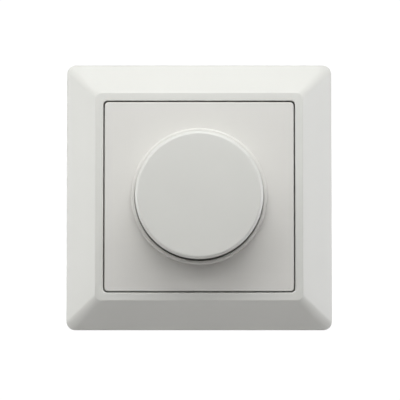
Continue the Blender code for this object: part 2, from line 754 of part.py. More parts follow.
def make_transistors(device):
    """Two power transistors, each with its metal tab on a heat spreader at the side wall."""
    height, spreader_half, spreader_wide = 8.6, 0.7, 4.8
    body_back, body_front, body_wide, body_low, body_high = -2.0, 1.6, 4.6, 2.6, 7.6
    tab_front, tab_wide, tab_high, tab_hole = -1.0, 4.4, 5.0, 0.9
    leg_half, leg_wide, leg_pitch = 0.25, 0.4, 2.5
    for side, name in ((-1, "left"), (1, "right")):
        turn = (0, 0, 0 if side < 0 else 180)
        spreader = box(f"heat_spreader_{name}", (-spreader_half, -spreader_wide, 0),
                       (spreader_half, spreader_wide, height), ALUMINIUM)
        place(spreader, device, (side * SPREADER_X, TRANSISTOR_Y, TRANSISTOR_BACK), turn)
        package = box(f"transistor_{name}", (body_back, -body_wide, body_low),
                      (body_front, body_wide, body_high), BLACK_PLASTIC)
        place(package, device, (side * TRANSISTOR_X, TRANSISTOR_Y, TRANSISTOR_BACK), turn)
        tab = box("transistor_tab", (body_back, -tab_wide, 0), (tab_front, tab_wide, tab_high),
                  STEEL)
        join(package, tab, (-0.01, 0, 0))
        rod = slab("tab_hole", arc(tab_hole, 0, 360, 12)[:-1], -2 * OVERSHOOT, 2 * OVERSHOOT,
                   STEEL)
        cut(package, rod, ((body_back + tab_front) / 2, 0, body_low / 2), (0, 90, 0))
        for leg in (-1, 0, 1):
            pin = box("transistor_leg", (-leg_half, -leg_wide, body_high - OVERSHOOT),
                      (leg_half, leg_wide, height + 0.5), STEEL)
            join(package, pin, (0, leg * leg_pitch, 0))


def make_choke(device):
    """Ring core with one layer of winding."""
    inner, outer, thickness = 2.9, 5.1, 3.6
    profile = [(inner, -thickness / 2), (outer, -thickness / 2), (outer, thickness / 2),
               (inner, thickness / 2)]
    place(turned("choke_core", profile, GREY_FERRITE, sides=28, closed=True), device,
          CHOKE_PLACE)
    turns, steps_per_turn, wire, spread = 11, 8, 0.35, math.radians(310)
    squareness = 0.55              # how far each loop follows the core's flat sides
    middle = (inner + outer) / 2
    reach_out = (outer - inner) / 2 + wire + GAP
    reach_up = thickness / 2 + wire + GAP
    path = []
    for step in range(turns * steps_per_turn + 1):
        share = step / (turns * steps_per_turn)
        round_core = share * turns * 2 * math.pi
        round_ring = share * spread
        across, up = math.cos(round_core), math.sin(round_core)
        widening = 1 / max(abs(across), abs(up)) ** squareness
        radius = middle + reach_out * across * widening
        path.append((radius * math.cos(round_ring), radius * math.sin(round_ring),
                     reach_up * up * widening))
    place(tube("choke_winding", path, wire, 4, COPPER), device, CHOKE_PLACE)


def make_capacitors(device):
    """Film capacitor, electrolytic capacitor and varistor on the back of the board."""
    half_x, half_y, height = 6.5, 3.0, 9.0
    film = box("film_capacitor", (-half_x, -half_y, 0), (half_x, half_y, height), YELLOW_FILM,
               radius=0.6)
    place(film, device, (*FILM_PLACE, REAR_PARTS_FRONT - height))
    radius, length, groove = 4.0, 8.8, 0.3
    profile = [(0, 0), (radius - 0.3, 0), (radius, 0.3), (radius, length - 1.8),
               (radius - groove, length - 1.5), (radius - groove, length - 1.2),
               (radius, length - 0.9), (radius, length), (0, length)]
    can = turned("electrolytic_capacitor", profile, BLUE_COATING, sides=24)
    place(can, device, (*CAN_PLACE, REAR_PARTS_FRONT - length))
    disc_radius, disc_thickness, rim = 4.2, 3.2, 0.7
    disc = turned("varistor", [(0, 0), (disc_radius - rim, 0), (disc_radius, rim),
                               (disc_radius, disc_thickness - rim),
                               (disc_radius - rim, disc_thickness), (0, disc_thickness)],
                  BLUE_COATING, sides=24)
    place(disc, device, (*VARISTOR_PLACE, REAR_PARTS_FRONT - disc_radius), (0, 90, 0))


def make_fuse(device):
    """Glass fuse lying on the back of the board: a tube and two end caps."""
    tube_radius, tube_bore, half_length, cap_length, cap_wall = 2.3, 1.9, 7.0, 3.0, 0.4
    glass = turned("fuse_tube", [(tube_bore, -half_length), (tube_radius, -half_length),
                                 (tube_radius, half_length), (tube_bore, half_length)],
                   CLEAR_TUBE, sides=20, closed=True)
    place(glass, device, FUSE_PLACE, (0, 90, 0))
    bore = tube_radius + GAP
    for side, number in ((-1, 1), (1, 2)):
        depth = GAP + cap_wall
        profile = [(0, cap_length - depth), (bore, cap_length - depth), (bore, 0),
                   (bore + cap_wall, 0), (bore + cap_wall, cap_length - GAP),
                   (0, cap_length - GAP)]
        cap = turned(f"fuse_cap_{number}", profile, BRASS, sides=20)
        offset = side * (half_length - (cap_length - depth) + GAP)
        place(cap, device, (offset, *FUSE_PLACE[1:]), (0, side * 90, 0))


def make_control_chip(device):
    """Control chip on the front of the board, with its rows of feet."""
    chip = box("control_chip", (-4.0, -2.0, 0.1), (4.0, 2.0, 1.5), BLACK_PLASTIC)
    place(chip, device, (-14.2, -1.0, BOARD_FRONT + GAP), (0, 0, 90))
    for index in range(4):
        foot = box("chip_foot", (-0.3, -3.0, 0), (0.3, 3.0, 0.5), STEEL)
        join(chip, foot, ((index - 1.5) * 1.9, 0, 0))


# ---------------------------------------------------------------- terminals

def terminal_places():
    """x of each terminal, left to right."""
    return [(index - (TERMINAL_COUNT - 1) / 2) * TERMINAL_PITCH
            for index in range(TERMINAL_COUNT)]


def make_terminal_block(device):
    """Insulating block with one open-ended chamber for each clamp."""
    block = place(box("terminal_block", BLOCK_LOW, BLOCK_HIGH, GREY_PLASTIC), device)
    for x in terminal_places():
        chamber = box("terminal_chamber", CHAMBER_LOW, CHAMBER_HIGH, GREY_PLASTIC)
        cut(block, chamber, (x, 0, 0))
        drill(block, WIRE_HOLE, BLOCK_LOW[2], BLOCK_LOW[2] + OVERSHOOT, x, WIRE_Y, sides=10)
    return block


def make_terminal(device, number, x):
    """Brass clamp with a wire hole, and the screw that presses the wire."""
    clamp = box(f"terminal_clamp_{number}", CLAMP_LOW, CLAMP_HIGH, BRASS)
    place(clamp, device, (x, 0, 0))
    drill(clamp, WIRE_HOLE, CLAMP_LOW[2], CLAMP_HIGH[2], 0, WIRE_Y, sides=10)
    head_radius, head_height, shank, length = 1.7, 0.9, 1.2, 3.2
    screw_bore = slab("clamp_bore", arc(shank + GAP, 0, 360, 10)[:-1], 0,
                      WIRE_Y - CLAMP_LOW[1] + OVERSHOOT, BRASS)
    cut(clamp, screw_bore, (0, WIRE_Y, TERMINAL_SCREW_Z), (90, 0, 0))
    profile = [(0, -length), (shank, -length), (shank, 0), (head_radius, 0),
               (head_radius, head_height), (0, head_height)]
    screw = turned(f"terminal_screw_{number}", profile, STEEL, sides=10)
    place(screw, device, (x, CLAMP_LOW[1] - GAP, TERMINAL_SCREW_Z), (90, 0, 0))
    cut(screw, box("terminal_screw_slot", (-2.0, -0.3, head_height - 0.5),
                   (2.0, 0.3, head_height + OVERSHOOT), STEEL))


# ---------------------------------------------------------------- assembly

def main():
    for leftover in list(bpy.data.objects):
        bpy.data.objects.remove(leftover)

    device = empty("device", rotation=(90, 0, 0))
    push_axis = empty("push_axis", device)
    turn_axis = empty("turn_axis", push_axis)
    rotor_axis = empty("rotor_axis", device)
    trimmer_axis = empty("trimmer_axis", device, (TRIMMER_X, 0, 0))

    make_cover_frame(device)
    make_centre_plate(device)
    make_knob(turn_axis)
    make_knob_clip(turn_axis)
    make_control_shaft(turn_axis)
    make_shaft_circlip(turn_axis)
    make_threaded_bush(device)
    make_plate_nut(device)
    make_bush_nut(device)
    make_nut_washer(device)

    make_support_plate(device)
    make_housing_cover(device)
    make_housing(device)
    for number, (x, y) in enumerate(corner_places(), 1):
        make_housing_screw(device, f"housing_screw_{number}", x, y)

    make_pot_case(device)
    make_pot_rotor(rotor_axis)
    make_pot_wiper(rotor_axis)
    make_pot_track(device)
    make_switch_case(device)
    make_switch_slider(push_axis)
    make_moving_contact(push_axis)
    make_fixed_contacts(device)
    make_return_spring(device)

    make_circuit_board(device)
    make_trimmer(device, trimmer_axis)
    make_transistors(device)
    make_choke(device)
    make_capacitors(device)
    make_fuse(device)
    make_control_chip(device)
    make_terminal_block(device)
    for number, x in enumerate(terminal_places(), 1):
        make_terminal(device, number, x)


main()
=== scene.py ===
"""Visual model of a rotary wall dimmer: finer shells and finished materials round the CAD model.

Shapes are drawn on the bench in millimetres, x to the right, y up and z out of the wall, and
are turned into the frame's metres as they are made. Corners in an outline are written as
(distance from the middle, height, rounding radius).
"""
import json
import math

import bmesh
import bpy
from mathutils import Matrix, Vector


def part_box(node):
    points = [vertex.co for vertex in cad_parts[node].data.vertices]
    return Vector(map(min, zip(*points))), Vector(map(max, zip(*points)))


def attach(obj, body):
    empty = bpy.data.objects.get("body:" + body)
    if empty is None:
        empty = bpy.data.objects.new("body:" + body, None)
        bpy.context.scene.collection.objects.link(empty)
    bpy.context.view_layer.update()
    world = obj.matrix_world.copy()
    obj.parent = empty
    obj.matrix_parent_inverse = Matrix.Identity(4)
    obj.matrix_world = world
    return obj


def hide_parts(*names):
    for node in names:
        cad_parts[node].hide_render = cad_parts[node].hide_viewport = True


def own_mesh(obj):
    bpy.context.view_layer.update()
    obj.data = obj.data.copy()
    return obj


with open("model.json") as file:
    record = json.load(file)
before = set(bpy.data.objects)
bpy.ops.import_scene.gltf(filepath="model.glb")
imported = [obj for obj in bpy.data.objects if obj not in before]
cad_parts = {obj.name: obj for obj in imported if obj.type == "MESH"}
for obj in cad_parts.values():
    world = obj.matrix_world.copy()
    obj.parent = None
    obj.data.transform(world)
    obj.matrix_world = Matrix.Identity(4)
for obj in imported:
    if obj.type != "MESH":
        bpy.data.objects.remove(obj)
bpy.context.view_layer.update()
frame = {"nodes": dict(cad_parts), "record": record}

MM = 0.001


def bench_box(node):
    """Lowest and highest corner of a CAD node on the bench, in millimetres."""
    low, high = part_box(node)
    return (Vector((low[0], low[2], -high[1])) / MM, Vector((high[0], high[2], -low[1])) / MM)


# ---------------------------------------------------------------- outlines and profiles

CORNER_STEPS = 14              # facets of a rounded corner
SIDE_STEPS = 34                # stretches along each straight side
CORNER_SPREAD = 3.0            # degrees of a circle that match one corner of a square
HOLE_SIDES = 48                # facets of a drilled hole
SHARP_ANGLE = 32               # degrees between faces from which an edge stays sharp
CRISP, SOFT, FILLET = 0.15, 0.2, 0.3     # common rounding radii


def square_ring(half, radius, height):
    """A square with rounded corners, with as many points as a circle_ring has."""
    points = []
    for corner in range(4):
        turn = corner * math.pi / 2
        middle = turn + math.pi / 4
        reach = (half - radius) * math.sqrt(2)
        for step in range(CORNER_STEPS + 1):
            angle = turn + (step / CORNER_STEPS) * math.pi / 2
            points.append((reach * math.cos(middle) + radius * math.cos(angle),
                           reach * math.sin(middle) + radius * math.sin(angle), height))
        for step in range(1, SIDE_STEPS):
            along = (half - radius) * (1 - 2 * step / SIDE_STEPS)
            points.append((along * math.cos(turn) - half * math.sin(turn),
                           along * math.sin(turn) + half * math.cos(turn), height))
    return points


def circle_ring(radius, height):
    """A circle whose points match those of square_ring one by one."""
    points = []
    for corner in range(4):
        middle = 45 + corner * 90
        angles = [middle + CORNER_SPREAD * (2 * step / CORNER_STEPS - 1)
                  for step in range(CORNER_STEPS + 1)]
        gap = 90 - 2 * CORNER_SPREAD
        angles += [middle + CORNER_SPREAD + gap * step / SIDE_STEPS
                   for step in range(1, SIDE_STEPS)]
        points += [(radius * math.cos(math.radians(angle)),
                    radius * math.sin(math.radians(angle)), height) for angle in angles]
    return points


def round_ring(radius, height, sides):
    """Evenly spaced points on a circle, or one point if radius is 0."""
    if radius == 0:
        return [(0, 0, height)]
    angles = (2 * math.pi * side / sides for side in range(sides))
    return [(radius * math.cos(angle), radius * math.sin(angle), height) for angle in angles]


def rectangle_ring(half_x, half_y, radius, height):
    """A rectangle with rounded corners."""
    points = []
    for corner in range(4):
        for step in range(CORNER_STEPS + 1):
            angle = (corner + step / CORNER_STEPS) * math.pi / 2
            side_x, side_y = ((1, 1), (-1, 1), (-1, -1), (1, -1))[corner]
            points.append((side_x * (half_x - radius) + radius * math.cos(angle),
                           side_y * (half_y - radius) + radius * math.sin(angle), height))
    return points


def round_profile(points, steps=6):
    """Replaces each (x, z, radius) corner of a line of points by an arc of that radius."""
    rounded = []
    for index, (x, z, radius) in enumerate(points):
        if radius == 0:
            rounded.append((x, z))
            continue
        corner = Vector((x, z))
        to_before = (Vector(points[index - 1][:2]) - corner).normalized()
        to_after = (Vector(points[(index + 1) % len(points)][:2]) - corner).normalized()
        half_angle = to_before.angle(to_after) / 2
        centre = corner + (to_before + to_after).normalized() * radius / math.sin(half_angle)
        reach = radius / math.tan(half_angle)
        first = (corner + to_before * reach - centre).normalized()
        last = (corner + to_after * reach - centre).normalized()
        for step in range(steps + 1):
            rounded.append(tuple(centre + first.slerp(last, step / steps) * radius))
    return rounded


# ---------------------------------------------------------------- pieces

def to_frame(point):
    """A bench point in millimetres as a point of the frame in metres."""
    x, y, z = point
    return Vector((x, -z, y)) * MM


def lofted(name, rings, closed=False, place=Matrix()):
    """A body through rings of points: the ends are capped, or joined to each other if closed."""
    shape = bmesh.new()
    loops = [[shape.verts.new(to_frame(place @ Vector(point))) for point in ring]
             for ring in rings]
    pairs = list(zip(loops, loops[1:]))
    if closed:
        pairs.append((loops[-1], loops[0]))
    else:
        for end in (loops[0], loops[-1]):
            if len(end) > 2:
                shape.faces.new(end)
    for lower, upper in pairs:
        count = max(len(lower), len(upper))
        for index in range(count):
            following = (index + 1) % count
            corners = [lower[index % len(lower)], lower[following % len(lower)],
                       upper[following % len(upper)], upper[index % len(upper)]]
            shape.faces.new(list(dict.fromkeys(corners)))
    bmesh.ops.recalc_face_normals(shape, faces=shape.faces)
    mesh = bpy.data.meshes.new(name)
    shape.to_mesh(mesh)
    shape.free()
    piece = bpy.data.objects.new(name, mesh)
    bpy.context.scene.collection.objects.link(piece)
    return piece


def use_tool(piece, tool, operation):
    """Joins a tool's shape to a piece or takes it away, and removes the tool."""
    step = piece.modifiers.new("tool", "BOOLEAN")
    step.operation = operation
    step.object = tool
    graph = bpy.context.evaluated_depsgraph_get()
    mesh = bpy.data.meshes.new_from_object(piece.evaluated_get(graph))
    mesh.name = piece.name
    piece.modifiers.clear()
    piece.data = mesh
    bpy.data.objects.remove(tool)


FLARE = 0.2                    # softened edge of a hole or a recess
OVERSHOOT = 1.0                # how far a tool runs past the face that it cuts
OVERLAP = 0.5                  # how far a joined shape runs into the piece
HAIR = 0.01                    # keeps the radius of a round-ended slot below its half width


def drill(piece, radius, back, front, x=0.0, y=0.0, flare=FLARE):
    """Cuts a round hole through a plate between two heights, with softened edges."""
    profile = [(radius + flare + OVERSHOOT, back - OVERSHOOT), (radius, back + flare),
               (radius, front - flare), (radius + flare + OVERSHOOT, front + OVERSHOOT)]
    rings = [round_ring(at, height, HOLE_SIDES) for at, height in profile]
    place = Matrix.Translation((x, y, 0))
    use_tool(piece, lofted("drill", rings, place=place), "DIFFERENCE")


def press(piece, half_x, half_y, radius, depth, place):
    """Sinks a recess with rounded corners and softened edges into a face of a piece."""
    levels = [(-FLARE, -depth), (0, FLARE - depth), (0, -FLARE),
              (FLARE + OVERSHOOT, OVERSHOOT)]
    rings = [rectangle_ring(half_x + wider, half_y + wider, radius + wider, height)
             for wider, height in levels]
    use_tool(piece, lofted("press", rings, place=place), "DIFFERENCE")


def stand_for(piece, node, body, material):
    """Smooths a finished piece and puts it in the place of a CAD node."""
    piece.data.shade_smooth()
    piece.data.set_sharp_from_angle(angle=math.radians(SHARP_ANGLE))
    even = piece.modifiers.new("even_shading", "WEIGHTED_NORMAL")
    even.keep_sharp = True
    even.weight = 100
    piece.data.materials.clear()
    piece.data.materials.append(material)
    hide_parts(node)
    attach(piece, body)


# ---------------------------------------------------------------- materials

TONE_PLACES = (0.3, 0.7)       # where in a pattern the darker and the lighter tone are reached
GRAIN_DEPTH = 0.00001          # metres


def new_material(name, roughness, metallic=0.0):
    """A Principled material, with its node tree and shader."""
    material = bpy.data.materials.new(name)
    material.use_nodes = True
    tree = material.node_tree
    shader = tree.nodes["Principled BSDF"]
    shader.inputs["Roughness"].default_value = roughness
    shader.inputs["Metallic"].default_value = metallic
    return material, tree, shader


def noise(tree, scale, detail=3.0, stretch=(1, 1, 1)):
    """A noise pattern fixed to the piece; scale is features per metre."""
    coordinates = tree.nodes.new("ShaderNodeTexCoord")
    mapping = tree.nodes.new("ShaderNodeMapping")
    mapping.inputs["Scale"].default_value = stretch
    pattern = tree.nodes.new("ShaderNodeTexNoise")
    pattern.inputs["Scale"].default_value = scale
    pattern.inputs["Detail"].default_value = detail
    tree.links.new(coordinates.outputs["Object"], mapping.inputs["Vector"])
    tree.links.new(mapping.outputs["Vector"], pattern.inputs["Vector"])
    return pattern.outputs["Fac"]


def two_tone(tree, shader, pattern, dark, light):
    """Colours the shader between two tones by a pattern."""
    ramp = tree.nodes.new("ShaderNodeValToRGB")
    for stop, place, tone in zip(ramp.color_ramp.elements, TONE_PLACES, (dark, light)):
        stop.position = place
        stop.color = (*tone, 1)
    tree.links.new(pattern, ramp.inputs["Fac"])
    tree.links.new(ramp.outputs["Color"], shader.inputs["Base Color"])


def vary_roughness(tree, shader, pattern, low, high):
    """Lets the roughness follow a pattern."""
    spread = tree.nodes.new("ShaderNodeMapRange")
    spread.inputs["To Min"].default_value = low
    spread.inputs["To Max"].default_value = high
    tree.links.new(pattern, spread.inputs["Value"])
    tree.links.new(spread.outputs["Result"], shader.inputs["Roughness"])


def grain(tree, shader, pattern, strength):
    """Raises the surface by a pattern."""
    bump = tree.nodes.new("ShaderNodeBump")
    bump.inputs["Strength"].default_value = strength
    bump.inputs["Distance"].default_value = GRAIN_DEPTH
    tree.links.new(pattern, bump.inputs["Height"])
    tree.links.new(bump.outputs["Normal"], shader.inputs["Normal"])


def shade(colour, factor):
    """A colour made darker or lighter."""
    return tuple(min(1.0, part * factor) for part in colour)


def moulded_plastic(name, colour, roughness, grain_strength=0.12, mottle=0.985):
    """Moulded plastic: a fine eroded grain, and a faint cloudiness in colour and gloss."""
    material, tree, shader = new_material(name, roughness)
    clouds, patches, pits = (noise(tree, 60.0, 2.0), noise(tree, 900.0, 2.0),
                             noise(tree, 9000.0, 3.0))
    two_tone(tree, shader, clouds, shade(colour, mottle), colour)
    vary_roughness(tree, shader, patches, roughness - 0.04, roughness + 0.04)
    grain(tree, shader, pits, grain_strength)
    return material


def plated_steel(name, colour):
    """Zinc-plated sheet: fine rolling lines and a soft spangle."""
    material, tree, shader = new_material(name, 0.5, 1.0)
    lines, spangle = noise(tree, 700.0, 4.0, (0.05, 1, 1)), noise(tree, 160.0, 3.0)
    two_tone(tree, shader, lines, shade(colour, 0.86), shade(colour, 1.08))
    vary_roughness(tree, shader, spangle, 0.43, 0.58)
    grain(tree, shader, lines, 0.15)
    return material


def bright_metal(name, colour, roughness):
    """Turned or drawn metal with fine marks and slight tarnish."""
    material, tree, shader = new_material(name, roughness, 1.0)
    tarnish, smears, marks = (noise(tree, 300.0, 3.0), noise(tree, 1200.0, 2.0),
                              noise(tree, 4000.0, 2.0))
    two_tone(tree, shader, tarnish, shade(colour, 0.8), colour)
    vary_roughness(tree, shader, smears, roughness - 0.08, roughness + 0.1)
    grain(tree, shader, marks, 0.02)
    return material


def clear_glass(name, colour):
    """Clear tube glass with faint drawn streaks."""
    material, tree, shader = new_material(name, 0.05)
    shader.inputs["Transmission Weight"].default_value = 1.0
    shader.inputs["IOR"].default_value = 1.5
    two_tone(tree, shader, noise(tree, 200.0, 1.0), shade(colour, 0.97), colour)
    return material


WHITE = (0.676, 0.68, 0.646)
WARM_WHITE = (0.687, 0.68, 0.649)        # the centre plate is a touch warmer


def slot_materials():
    """One finished material for each material slot of the record."""
    return {
        "white_plastic": moulded_plastic("white_plastic", WHITE, 0.42),
        "grey_plastic": moulded_plastic("grey_plastic", (0.16, 0.165, 0.17), 0.5, 0.3, 0.9),
        "black_plastic": moulded_plastic("black_plastic", (0.028, 0.028, 0.03), 0.45, 0.2, 0.8),
        "beige_plastic": moulded_plastic("beige_plastic", (0.62, 0.55, 0.42), 0.5, 0.2, 0.92),
        "blue_coating": moulded_plastic("blue_coating", (0.05, 0.16, 0.42), 0.3, 0.2, 0.85),
        "yellow_film": moulded_plastic("yellow_film", (0.75, 0.52, 0.08), 0.35, 0.1, 0.92),
        "green_laminate": moulded_plastic("green_laminate", (0.03, 0.22, 0.08), 0.4, 0.2, 0.8),
        "ferrite": moulded_plastic("ferrite", (0.10, 0.10, 0.11), 0.65, 0.4, 0.8),
        "clear_glass": clear_glass("clear_glass", (0.9, 0.95, 0.95)),
        "zinc_steel": plated_steel("zinc_steel", (0.46, 0.47, 0.485)),
        "brass": bright_metal("brass", (0.72, 0.55, 0.26), 0.28),
        "copper": bright_metal("copper", (0.70, 0.33, 0.18), 0.3),
        "aluminium": bright_metal("aluminium", (0.74, 0.75, 0.76), 0.36),
    }


def dress_cad_nodes(materials):
    """Gives each CAD node the material of its slot."""
    slots = {entry["node"]: entry["material_slot"] for entry in frame["record"]["subparts"]}
    for node, piece in frame["nodes"].items():
        piece.material_slots[0].material = materials[slots[node]]


# ---------------------------------------------------------------- cover frame

PLATE_CLEARANCE = 0.4          # dark gap round the centre plate
BORDER_WIDTH = 2.32            # flat border round the opening
BEVEL_START = 2.0              # height of the upright edge
SHELL = 2.0                    # thickness of the bevelled wall
OPENING_WALL = 1.51
LEDGE_WIDTH = 2.99             # ledge that the centre plate presses on
LEDGE_BACK, LEDGE_FRONT = 3.4, 4.6
EDGE_ROUNDING, BORDER_ROUNDING, OPENING_ROUNDING, WALL_FILLET = 1.2, 0.5, 0.22, 0.4
LEAST_CORNER, OPENING_CORNER, BORDER_CORNER, OUTER_CORNER = 0.9, 1.3, 2.0, 2.7


def make_cover_frame(material):
    """Bevelled square ring with softly rounded edges, hollow behind, with its clamping ledge."""
    low, high = bench_box("cover_frame")
    plate_half = bench_box("centre_plate")[1].x
    half, front = high.x, high.z
    opening = plate_half + PLATE_CLEARANCE
    border = opening + BORDER_WIDTH
    ledge = opening - LEDGE_WIDTH
    slope = (front - BEVEL_START) / (half - border)
    drop = SHELL * math.hypot(1, slope)
    wall, outside = half - SHELL, opening + OPENING_WALL

    def inside_height(at):
        return BEVEL_START + (half - at) * slope - drop

    def corner_radius(at):
        if at > border:
            share = (at - border) / (half - border)
            return BORDER_CORNER + share * (OUTER_CORNER - BORDER_CORNER)
        share = (at - opening) / BORDER_WIDTH
        return max(LEAST_CORNER, OPENING_CORNER + share * (BORDER_CORNER - OPENING_CORNER))

    profile = round_profile([
        (half, 0.0, CRISP),
        (half, BEVEL_START, EDGE_ROUNDING),
        (border, front, BORDER_ROUNDING),
        (opening, front, OPENING_ROUNDING),
        (opening, LEDGE_FRONT, SOFT),
        (ledge, LEDGE_FRONT, CRISP),
        (ledge, LEDGE_BACK, CRISP),
        (outside, LEDGE_BACK, SOFT),
        (outside, inside_height(outside), FILLET),
        (wall, inside_height(wall), WALL_FILLET),
        (wall, 0.0, CRISP),
    ])
    rings = [square_ring(at, corner_radius(at), height) for at, height in profile]
    piece = lofted("cover_frame_shell", rings, closed=True)
    stand_for(piece, "cover_frame", "base", material)


# ---------------------------------------------------------------- centre plate

PLATE_CORNER = 1.1
PLATE_SKIRT = 1.6
PLATE_FRONT = 9.3
COLLAR_RADIUS = 20.1
COLLAR_BORE = 19.12
RECESS_FLOOR, RECESS_BACK = 7.6, 6.0
PLATE_SKIN = 2.0
FLANGE_REACH = 2.3             # how far the bush's flange reaches past the plate's hole
PLATE_ROUNDING, COLLAR_FOOT, COLLAR_ROUNDING, BORE_ROUNDING = 0.18, 0.25, 0.4, 0.22


def make_centre_plate(material):
    """Square plate whose collar rises from a small fillet round the knob's recess."""
    low, high = bench_box("centre_plate")
    half, back, collar_front = high.x, low.z, high.z
    inside = half - PLATE_SKIRT
    bore = bench_box("threaded_bush")[1].x - FLANGE_REACH
    underside = PLATE_FRONT - PLATE_SKIN
    rim = round_profile([
        (inside, underside, FILLET),
        (inside, back, SOFT),
        (half, back, SOFT),
        (half, PLATE_FRONT, PLATE_ROUNDING),
        (COLLAR_RADIUS, PLATE_FRONT, 0),
    ])[:-1]
    collar = round_profile([
        (half, PLATE_FRONT, 0),
        (COLLAR_RADIUS, PLATE_FRONT, COLLAR_FOOT),
        (COLLAR_RADIUS, collar_front, COLLAR_ROUNDING),
        (COLLAR_BORE, collar_front, BORE_ROUNDING),
        (COLLAR_BORE, RECESS_FLOOR, FILLET),
        (bore, RECESS_FLOOR, CRISP),
        (bore, RECESS_BACK, CRISP),
        (COLLAR_RADIUS, RECESS_BACK, FILLET),
        (COLLAR_RADIUS, underside, FILLET),
        (inside, underside, 0),
    ])[1:-1]
    rings = [square_ring(at, PLATE_CORNER, height) for at, height in rim]
    rings += [circle_ring(at, height) for at, height in collar]
    piece = lofted("centre_plate_shell", rings, closed=True)
    stand_for(piece, "centre_plate", "base", material)


# ---------------------------------------------------------------- knob

KNOB_WALL = 1.6
KNOB_CHAMFER = 0.8
KNOB_ROUNDING = 0.7
HUB_RADIUS, HUB_BORE = 5.4, 3.9
HUB_START, HUB_BORE_DEPTH = 3.2, 9.2     # from the knob's back edge
KNOB_FILLET, HUB_FILLET = 0.5, 0.4
KNOB_SIDES, KNOB_ARC_STEPS = 192, 8
RIB_COUNT = 6
RIB_WIDTH = 1.0
RIB_START = 5.8                # from the knob's back edge


def make_knob(material):
    """Round cap with a soft rim, a hollow back and its hub."""
    low, high = bench_box("knob")
    radius, back, front = high.x, low.z, high.z
    inside, skin = radius - KNOB_WALL, front - KNOB_WALL
    profile = round_profile([
        (0, front, 0),
        (radius - KNOB_CHAMFER, front, KNOB_ROUNDING),
        (radius, front - KNOB_CHAMFER, KNOB_ROUNDING),
        (radius, back, SOFT),
        (inside, back, SOFT),
        (inside, skin, KNOB_FILLET),
        (HUB_RADIUS, skin, HUB_FILLET),
        (HUB_RADIUS, back + HUB_START, SOFT),
        (HUB_BORE, back + HUB_START, SOFT),
        (HUB_BORE, back + HUB_BORE_DEPTH, SOFT),
        (0, back + HUB_BORE_DEPTH, 0),
    ], steps=KNOB_ARC_STEPS)
    rings = [round_ring(at, height, KNOB_SIDES) for at, height in profile]
    piece = lofted("knob_cap", rings)
    from_hub, to_wall = HUB_RADIUS - OVERLAP, inside + OVERLAP
    for rib in range(RIB_COUNT):
        outline = [rectangle_ring((to_wall - from_hub) / 2, RIB_WIDTH / 2, SOFT, height)
                   for height in (back + RIB_START, skin + OVERLAP)]
        place = (Matrix.Rotation(2 * math.pi * rib / RIB_COUNT, 4, "Z")
                 @ Matrix.Translation(((to_wall + from_hub) / 2, 0, 0)))
        use_tool(piece, lofted("rib", outline, place=place), "UNION")
    stand_for(piece, "knob", "knob_unit", material)


# ---------------------------------------------------------------- support plate

BOX_SCREW_REACH = 30.0         # from the middle to each slot for a screw of the wall box
SLOT_HALF_WIDTH, SLOT_HALF_LENGTH = 1.9, 5.0
SUPPORT_CORNER = 4.0
BUSH_HOLE = 5.1
TRIMMER_X, TRIMMER_HOLE = 14.0, 1.9
SCREW_REACH, SCREW_HOLE = 17.0, 1.6
BEAD_PLACE = 27.0              # stiffening beads across the corners, in from the middle
BEAD_HALF_LENGTH, BEAD_HALF_WIDTH, BEAD_DEPTH = 5.0, 1.0, 0.45
FLAT_INSET = 3.0               # where the flat end of a lofted shell starts, in from its edge


def screw_places():
    """The four places of the housing's screws."""
    return [(x * SCREW_REACH, y * SCREW_REACH) for y in (1, -1) for x in (-1, 1)]


def drill_common_holes(piece, back, front):
    """Holes for the bush, the trimmer's screwdriver and the four housing screws."""
    drill(piece, BUSH_HOLE, back, front)
    drill(piece, TRIMMER_HOLE, back, front, TRIMMER_X)
    for x, y in screw_places():
        drill(piece, SCREW_HOLE, back, front, x, y)


def rounded_slab(name, half, corner, back, front, rounding):
    """A square plate with rounded corners and rounded edges."""
    profile = round_profile([(half - FLAT_INSET, back, 0), (half, back, rounding),
                             (half, front, rounding), (half - FLAT_INSET, front, 0)])
    rings = [rectangle_ring(at, at, corner - (half - at), height) for at, height in profile]
    return lofted(name, rings)


def make_support_plate(material):
    """Stamped steel plate with screw slots and a pressed bead across each corner."""
    low, high = bench_box("support_plate")
    back, front = low.z, high.z
    piece = rounded_slab("support_plate_sheet", high.x, SUPPORT_CORNER, back, front, SOFT)
    levels = [(FLARE + OVERSHOOT, back - OVERSHOOT), (0, back + FLARE), (0, front - FLARE),
              (FLARE + OVERSHOOT, front + OVERSHOOT)]
    for quarter in range(4):
        outline = [rectangle_ring(SLOT_HALF_WIDTH + wider, SLOT_HALF_LENGTH + wider,
                                  SLOT_HALF_WIDTH + wider - HAIR, height)
                   for wider, height in levels]
        turn = Matrix.Rotation(quarter * math.pi / 2, 4, "Z")
        place = turn @ Matrix.Translation((BOX_SCREW_REACH, 0, 0))
        use_tool(piece, lofted("slot", outline, place=place), "DIFFERENCE")
        bead = (turn @ Matrix.Translation((BEAD_PLACE, BEAD_PLACE, back))
                @ Matrix.Rotation(-math.pi / 4, 4, "Z") @ Matrix.Rotation(math.pi, 4, "X"))
        press(piece, BEAD_HALF_WIDTH, BEAD_HALF_LENGTH, BEAD_HALF_WIDTH - HAIR, BEAD_DEPTH,
              bead)
    drill_common_holes(piece, back, front)
    stand_for(piece, "support_plate", "base", material)


# ---------------------------------------------------------------- housing

